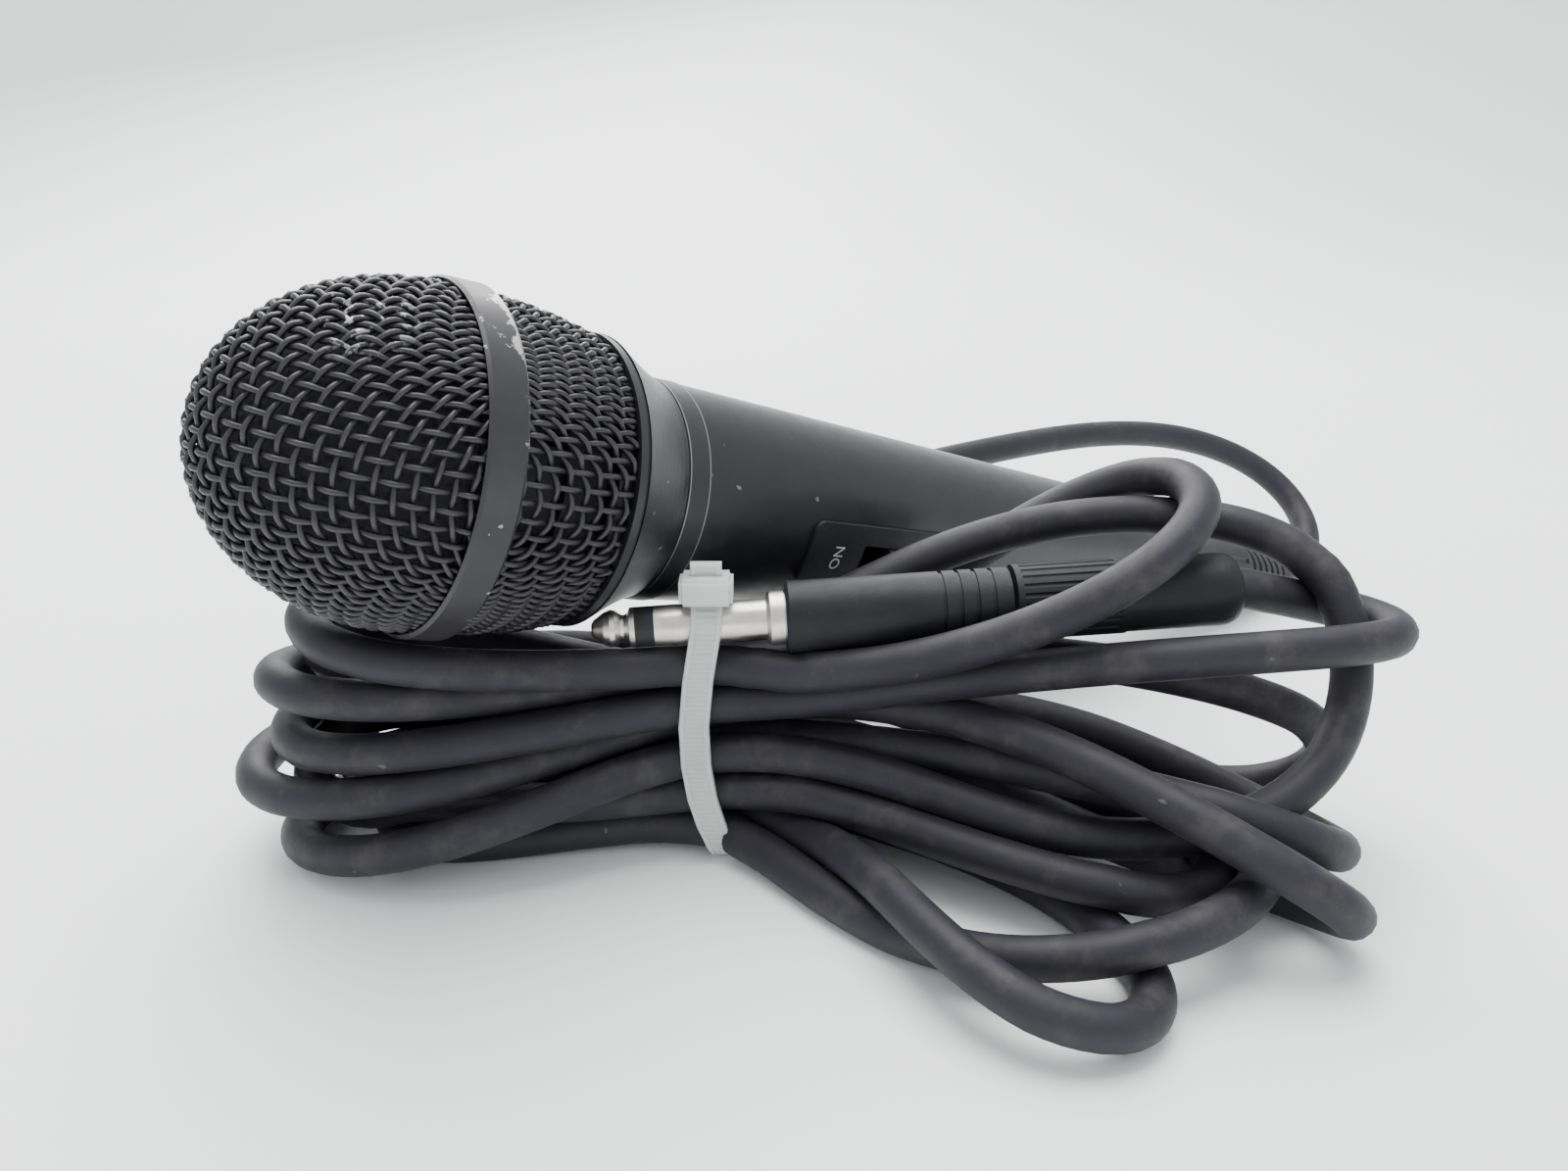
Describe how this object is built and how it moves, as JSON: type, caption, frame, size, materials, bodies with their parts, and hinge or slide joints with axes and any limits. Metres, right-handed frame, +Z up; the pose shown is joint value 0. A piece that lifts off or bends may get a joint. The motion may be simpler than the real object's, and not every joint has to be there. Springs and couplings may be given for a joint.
{
  "type": "dynamic microphone",
  "caption": "Hand-held vocal microphone with a ball grille, on/off switch and tail socket, lying on a tied hank of its cable with a quarter-inch plug.",
  "frame": {"origin": "on the surface the microphone lies on, below the middle of the microphone and its cable connector", "axes": "+X along the microphone from ball to tail, seen from above, +Z up, -Y towards the side with the switch and the hank's wide end"},
  "size_m": [0.2842, 0.1503, 0.0952],
  "materials": {
    "weave": "satin black powder coat on woven steel wire",
    "band": "satin black paint, chipped to metal at the edges",
    "collar_metal": "blackened zinc",
    "foam": "open-cell foam",
    "gasket": "matt",
    "capsule_plastic": "moulded",
    "film": "thin clear film",
    "coil": "enamelled copper wire",
    "pole_steel": "plated",
    "magnet": "ground",
    "felt": "felt",
    "board": "laminate",
    "shock_rubber": "matt",
    "wire": "insulated",
    "handle": "satin black paint on die-cast metal",
    "label": "satin dark ring, no lettering",
    "plate": "satin dark grey",
    "slider": "ribbed black",
    "switch_case": "tinned",
    "screw": "zinc plated",
    "insert_plastic": "moulded",
    "contact": "plated",
    "conn_shell": "satin black",
    "latch": "satin",
    "boot_rubber": "matt",
    "cord_rubber": "matt black jacket, dusty",
    "plug_nickel": "nickel, scuffed",
    "plug_plastic": "satin black",
    "nylon": "natural milky nylon"
  },
  "bodies": {
    "grille": {"grille_front": "weave", "grille_rear": "weave", "grille_band": "band", "grille_collar": "collar_metal", "foam_liner": "foam"},
    "gasket": {"gasket_ring": "gasket"},
    "slider": {"switch_slider": "slider"},
    "diaphragm": {"diaphragm": "film", "voice_coil": "coil"},
    "latch": {"latch_button": "latch"},
    "handle": {"capsule_cap": "capsule_plastic", "surround": "film", "top_plate": "pole_steel", "pole_piece": "pole_steel", "magnet": "magnet", "yoke": "pole_steel", "damping_felt": "felt", "capsule_housing": "capsule_plastic", "terminal_board": "board", "shock_mount": "shock_rubber", "capsule_leads": "wire", "handle_shell": "handle", "label_band": "label", "switch_plate": "plate", "switch_body": "switch_case", "switch_screws": "screw", "switch_leads": "wire", "xlr_insert": "insert_plastic", "xlr_pins": "contact", "insert_screw": "screw", "connector_shell": "conn_shell", "connector_insert": "insert_plastic", "connector_sockets": "contact", "cable_chuck": "insert_plastic", "clamp_nut": "plug_plastic", "connector_boot": "boot_rubber", "cord_tail": "cord_rubber", "cord_hank": "cord_rubber", "cord_lead": "cord_rubber", "jack_tip": "plug_nickel", "jack_insulator": "insert_plastic", "jack_sleeve": "plug_nickel", "jack_body": "screw", "jack_barrel": "plug_plastic", "jack_clamp": "screw", "jack_grip": "plug_plastic", "jack_boot": "plug_plastic", "cable_tie": "nylon"}
  },
  "joints": [
    {"name": "grille_turn", "type": "hinge", "parent": "handle", "child": "gasket", "pos_m": [-0.06712, 0, 0.0607], "axis": [-0.9593, 0, 0.2823], "range_deg": [0, 1440]},
    {"name": "grille_advance", "type": "slide", "parent": "gasket", "child": "grille", "axis": [-0.9593, 0, 0.2823], "range_m": [0, 0.005]},
    {"name": "switch_slide", "type": "slide", "parent": "handle", "child": "slider", "axis": [-0.9593, 0, 0.2823], "range_m": [0, 0.0056]},
    {"name": "diaphragm_stroke", "type": "slide", "parent": "handle", "child": "diaphragm", "axis": [-0.9593, 0, 0.2823], "range_m": [-0.0002, 0.0002], "stiffness_N_per_m": 50},
    {"name": "latch_press", "type": "slide", "parent": "handle", "child": "latch", "axis": [-0.2823, 0, -0.9593], "range_m": [0, 0.001], "stiffness_N_per_m": 200}
  ],
  "couplings": [
    {"joint": "grille_advance", "follows": "grille_turn", "m_per_rad": 0.00019893}
  ]
}
